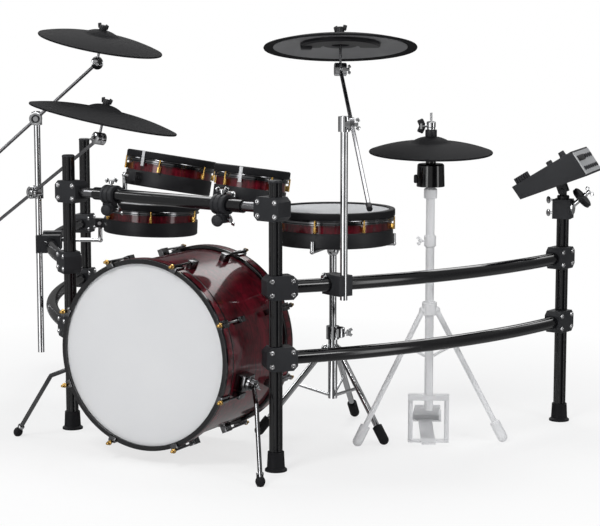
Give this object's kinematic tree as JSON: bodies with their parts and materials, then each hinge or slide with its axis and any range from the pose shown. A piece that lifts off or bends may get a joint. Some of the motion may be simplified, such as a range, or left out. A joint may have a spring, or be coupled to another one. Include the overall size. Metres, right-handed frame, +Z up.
{
  "type": "electronic drum kit",
  "caption": "Electronic drum kit on a bowed tube rack, with kick drum, mesh-head toms and snare, rubber boom cymbals, hi-hat on its stand and a tilting sound module.",
  "frame": {"origin": "centre of the bounding box, on the floor", "axes": "+X along the front bar towards the hi-hat side, +Y from the front bar back to the player, +Z up"},
  "size_m": [2.1022, 1.4644, 1.2471],
  "materials": {
    "black_tube": "satin black powder coat",
    "clamp_black": "matte moulded dark grey",
    "bolt_steel": "bright zinc bolt heads",
    "rubber_black": "matte charcoal rubber",
    "wine_lacquer": "glossy dark wine-red lacquer over figured veneer",
    "hoop_black": "gloss black hoop",
    "head_white": "smooth coated white drumhead",
    "mesh_head": "tight woven mesh drumhead",
    "black_nickel": "black nickel plate",
    "gold_lug": "polished gold-coloured lugs",
    "chrome": "polished chrome tube",
    "base_black": "matte black moulding",
    "pale_stand": "pale grey satin stand",
    "jack_silver": "bare silver jack plate",
    "knob_grey": "soft dark grey knob"
  },
  "bodies": {
    "rack": {"rack_posts": "black_tube", "post_feet": "rubber_black", "front_bar": "black_tube", "side_bars": "black_tube", "rack_clamps": "clamp_black", "clamp_bolts": "bolt_steel", "kick_shell": "wine_lacquer", "kick_hoops": "hoop_black", "kick_front_head": "head_white", "kick_batter_head": "mesh_head", "kick_claws": "black_nickel", "kick_sensor": "base_black", "spur_brackets": "black_nickel", "snare_stand_tube": "chrome", "snare_stand_legs": "chrome", "snare_stand_feet": "rubber_black", "tom_arms": "chrome", "boom_tubes": "chrome", "stand_clamps": "clamp_black", "hihat_stand": "pale_stand", "hihat_controller": "base_black", "module_bracket": "clamp_black"},
    "left_spur": {"left_spur": "black_nickel"},
    "right_spur": {"right_spur": "black_nickel"},
    "snare_slider": {"snare_stand_slider": "chrome"},
    "snare": {"snare_basket": "base_black", "snare_rim": "rubber_black", "snare_head": "mesh_head", "snare_shell": "wine_lacquer", "snare_base": "base_black", "snare_lugs": "gold_lug"},
    "tom_10": {"tom_10_rim": "rubber_black", "tom_10_head": "mesh_head", "tom_10_shell": "wine_lacquer", "tom_10_base": "base_black", "tom_10_lugs": "gold_lug"},
    "tom_8": {"tom_8_rim": "rubber_black", "tom_8_head": "mesh_head", "tom_8_shell": "wine_lacquer", "tom_8_base": "base_black", "tom_8_lugs": "gold_lug"},
    "tom_12": {"tom_12_rim": "rubber_black", "tom_12_head": "mesh_head", "tom_12_shell": "wine_lacquer", "tom_12_base": "base_black", "tom_12_lugs": "gold_lug"},
    "crash_1_arm": {"crash_1_boom": "chrome"},
    "crash_1": {"crash_1_cymbal": "rubber_black"},
    "crash_2_arm": {"crash_2_boom": "chrome"},
    "crash_2": {"crash_2_cymbal": "rubber_black"},
    "ride_arm": {"ride_boom": "chrome"},
    "ride": {"ride_cymbal": "rubber_black"},
    "hihat_top": {"hihat_rod": "pale_stand", "hihat_cymbal": "rubber_black"},
    "hihat_pedal": {"hihat_pedal": "pale_stand"},
    "module": {"module_case": "base_black", "module_jack_panel": "jack_silver"},
    "module_left_knob": {"module_left_knob": "knob_grey"},
    "module_right_knob": {"module_right_knob": "knob_grey"},
    "module_buttons": {"module_buttons": "base_black"}
  },
  "joints": [
    {"name": "left_spur_fold", "type": "hinge", "parent": "rack", "child": "left_spur", "pos_m": [-0.07111, -0.62087, 0.23812], "axis": [-0.9484, -0.205, -0.2419], "range_deg": [0, 50]},
    {"name": "right_spur_fold", "type": "hinge", "parent": "rack", "child": "right_spur", "pos_m": [0.50816, -0.49563, 0.23812], "axis": [0.9484, 0.205, -0.2419], "range_deg": [-50, 0]},
    {"name": "snare_height", "type": "slide", "parent": "rack", "child": "snare_slider", "axis": [0, 0, 1], "range_m": [-0.05, 0.03]},
    {"name": "snare_tilt", "type": "hinge", "parent": "snare_slider", "child": "snare", "pos_m": [0.4015, -0.0019, 0.5618], "axis": [1, 0, 0], "range_deg": [-8, 8]},
    {"name": "tom_10_tilt", "type": "hinge", "parent": "rack", "child": "tom_10", "pos_m": [-0.02063, -0.42133, 0.79081], "axis": [0.9981, -0.0052, -0.061], "range_deg": [-10, 10]},
    {"name": "tom_8_tilt", "type": "hinge", "parent": "rack", "child": "tom_8", "pos_m": [0.34028, -0.43158, 0.76675], "axis": [0.999, -0.0032, -0.045], "range_deg": [-10, 10]},
    {"name": "tom_12_tilt", "type": "hinge", "parent": "rack", "child": "tom_12", "pos_m": [-0.55195, -0.06199, 0.5833], "axis": [0.6972, -0.7169, 0.0006], "range_deg": [-10, 10]},
    {"name": "crash_1_boom_tilt", "type": "hinge", "parent": "rack", "child": "crash_1_arm", "pos_m": [-0.66291, -0.23223, 0.934], "axis": [0.6428, -0.766, 0], "range_deg": [-8, 15]},
    {"name": "crash_1_rock", "type": "hinge", "parent": "crash_1_arm", "child": "crash_1", "pos_m": [-0.47194, -0.11352, 1.21706], "axis": [0.977, -0.0045, -0.213], "range_deg": [-5, 5]},
    {"name": "crash_2_boom_tilt", "type": "hinge", "parent": "rack", "child": "crash_2_arm", "pos_m": [-0.66291, -0.23223, 0.692], "axis": [-0.0785, -0.9969, 0], "range_deg": [-2, 6]},
    {"name": "crash_2_rock", "type": "hinge", "parent": "crash_2_arm", "child": "crash_2", "pos_m": [-0.30325, -0.26537, 0.9864], "axis": [0.9856, -0.0121, -0.1685], "range_deg": [-5, 5]},
    {"name": "ride_boom_tilt", "type": "hinge", "parent": "rack", "child": "ride_arm", "pos_m": [0.70978, -0.33516, 0.97], "axis": [0.7193, 0.6947, 0], "range_deg": [-15, 15]},
    {"name": "ride_rock", "type": "hinge", "parent": "ride_arm", "child": "ride", "pos_m": [0.47078, -0.05562, 1.2129], "axis": [0.9927, 0.0087, 0.12], "range_deg": [-5, 5]},
    {"name": "hihat_pedal_hinge", "type": "hinge", "parent": "rack", "child": "hihat_pedal", "pos_m": [0.52865, 0.3049, 0.026], "axis": [-0.788, -0.6157, 0], "range_deg": [-9, 0]},
    {"name": "hihat_slide", "type": "slide", "parent": "rack", "child": "hihat_top", "axis": [0, 0, 1], "range_m": [-0.02, 0]},
    {"name": "module_tilt", "type": "hinge", "parent": "rack", "child": "module", "pos_m": [0.84602, 0.5868, 0.73], "axis": [-0.342, 0.9397, 0], "range_deg": [-15, 20]},
    {"name": "left_knob_turn", "type": "hinge", "parent": "module", "child": "module_left_knob", "pos_m": [0.77653, 0.62536, 0.79768], "axis": [-0.4986, -0.1815, 0.8476], "range_deg": [-150, 150]},
    {"name": "right_knob_turn", "type": "hinge", "parent": "module", "child": "module_right_knob", "pos_m": [0.87209, 0.54309, 0.83628], "axis": [-0.4986, -0.1815, 0.8476], "range_deg": [-150, 150]},
    {"name": "button_press", "type": "slide", "parent": "module", "child": "module_buttons", "axis": [0.4986, 0.1815, -0.8476], "range_m": [0, 0.0025]}
  ],
  "couplings": [
    {"joint": "hihat_slide", "follows": "hihat_pedal_hinge", "m_per_rad": 0.12732}
  ]
}
